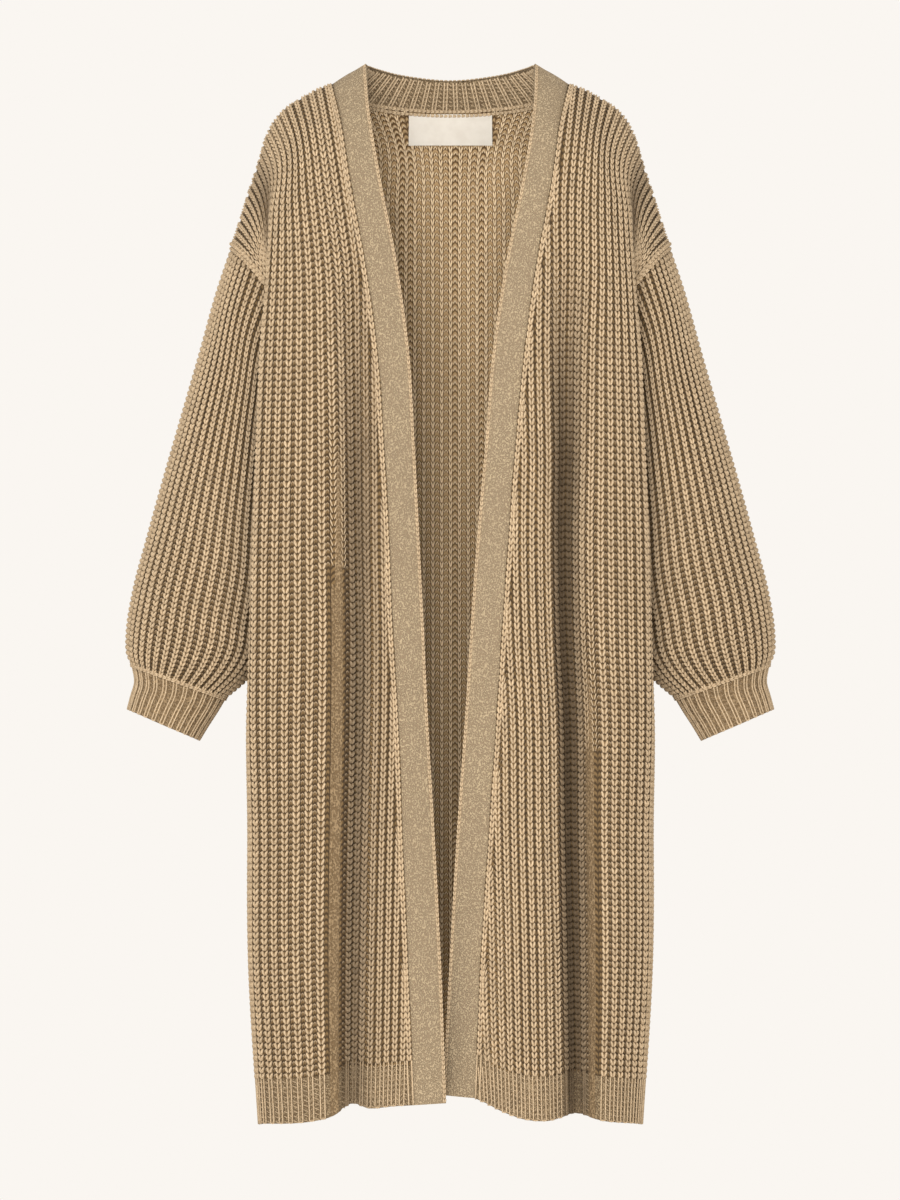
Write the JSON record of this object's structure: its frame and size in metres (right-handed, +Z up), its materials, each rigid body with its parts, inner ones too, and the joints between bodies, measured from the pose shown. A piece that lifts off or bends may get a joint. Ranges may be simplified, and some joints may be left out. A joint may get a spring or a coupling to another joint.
{
  "type": "long knit cardigan",
  "caption": "Long open-front chunky rib-knit cardigan in its worn form, with dropped full sleeves, ribbed cuffs and hem, and plain front bands.",
  "frame": {"origin": "midway between the two neck points, on the shoulder line, where the wearer's neck comes out", "axes": "+Z up, -Y the way the front faces, +X towards the wearer's left"},
  "size_m": [0.6816, 0.252, 1.1143],
  "materials": {
    "rib_knit": "chunky rib knit in sand-coloured wool yarn",
    "cuff_rib": "close rib knit in sand-coloured wool yarn",
    "band_knit": "dense fine knit in sand-coloured wool yarn",
    "neck_rib": "rib knit in sand-coloured wool yarn",
    "label_cloth": "smooth woven cotton, blank"
  },
  "bodies": {
    "root": {"back": "rib_knit", "front_right": "rib_knit", "front_left": "rib_knit", "sleeve_right": "rib_knit", "sleeve_left": "rib_knit", "cuff_right": "cuff_rib", "cuff_left": "cuff_rib", "band_right": "band_knit", "band_left": "band_knit", "neck_rib": "neck_rib", "label": "label_cloth"}
  },
  "joints": []
}
